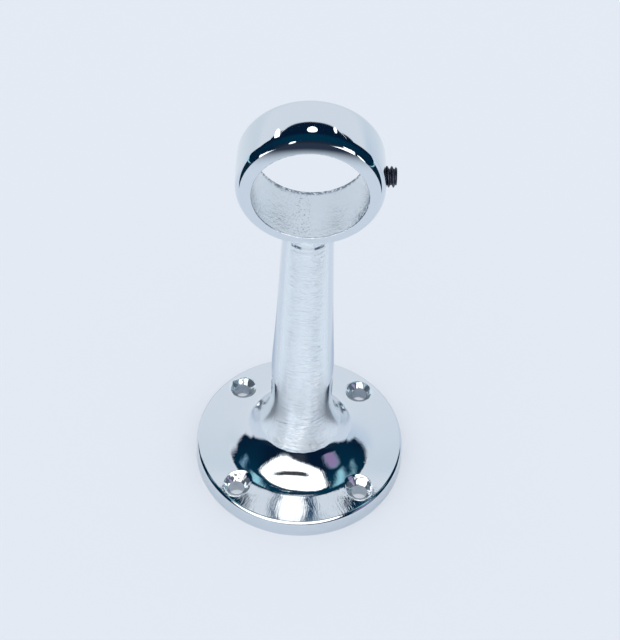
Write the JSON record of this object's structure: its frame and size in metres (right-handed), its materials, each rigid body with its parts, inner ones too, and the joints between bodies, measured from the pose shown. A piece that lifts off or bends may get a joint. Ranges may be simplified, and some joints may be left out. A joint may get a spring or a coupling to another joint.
{
  "type": "curtain rod bracket",
  "caption": "Flanged wall bracket with a tapered stem and a ring that a curtain rod passes through, held by a side set screw.",
  "frame": {"origin": "centre of the flange's back face, on the wall", "axes": "+Z out of the wall along the stem, +Y along the rod, +X towards the set screw"},
  "size_m": [0.056, 0.056, 0.1219],
  "materials": {
    "chrome_plate": "polished chrome plate on a casting, satin along the stem, cast texture in the bore and the back",
    "black_oxide": "black oxide, lightly oiled"
  },
  "bodies": {
    "bracket": {"bracket_body": "chrome_plate"},
    "clamp": {"clamp_screw": "black_oxide"}
  },
  "joints": [
    {"name": "clamp_screw_travel", "type": "slide", "parent": "bracket", "child": "clamp", "axis": [1, 0, 0], "range_m": [-0.00225, 0.002]}
  ]
}
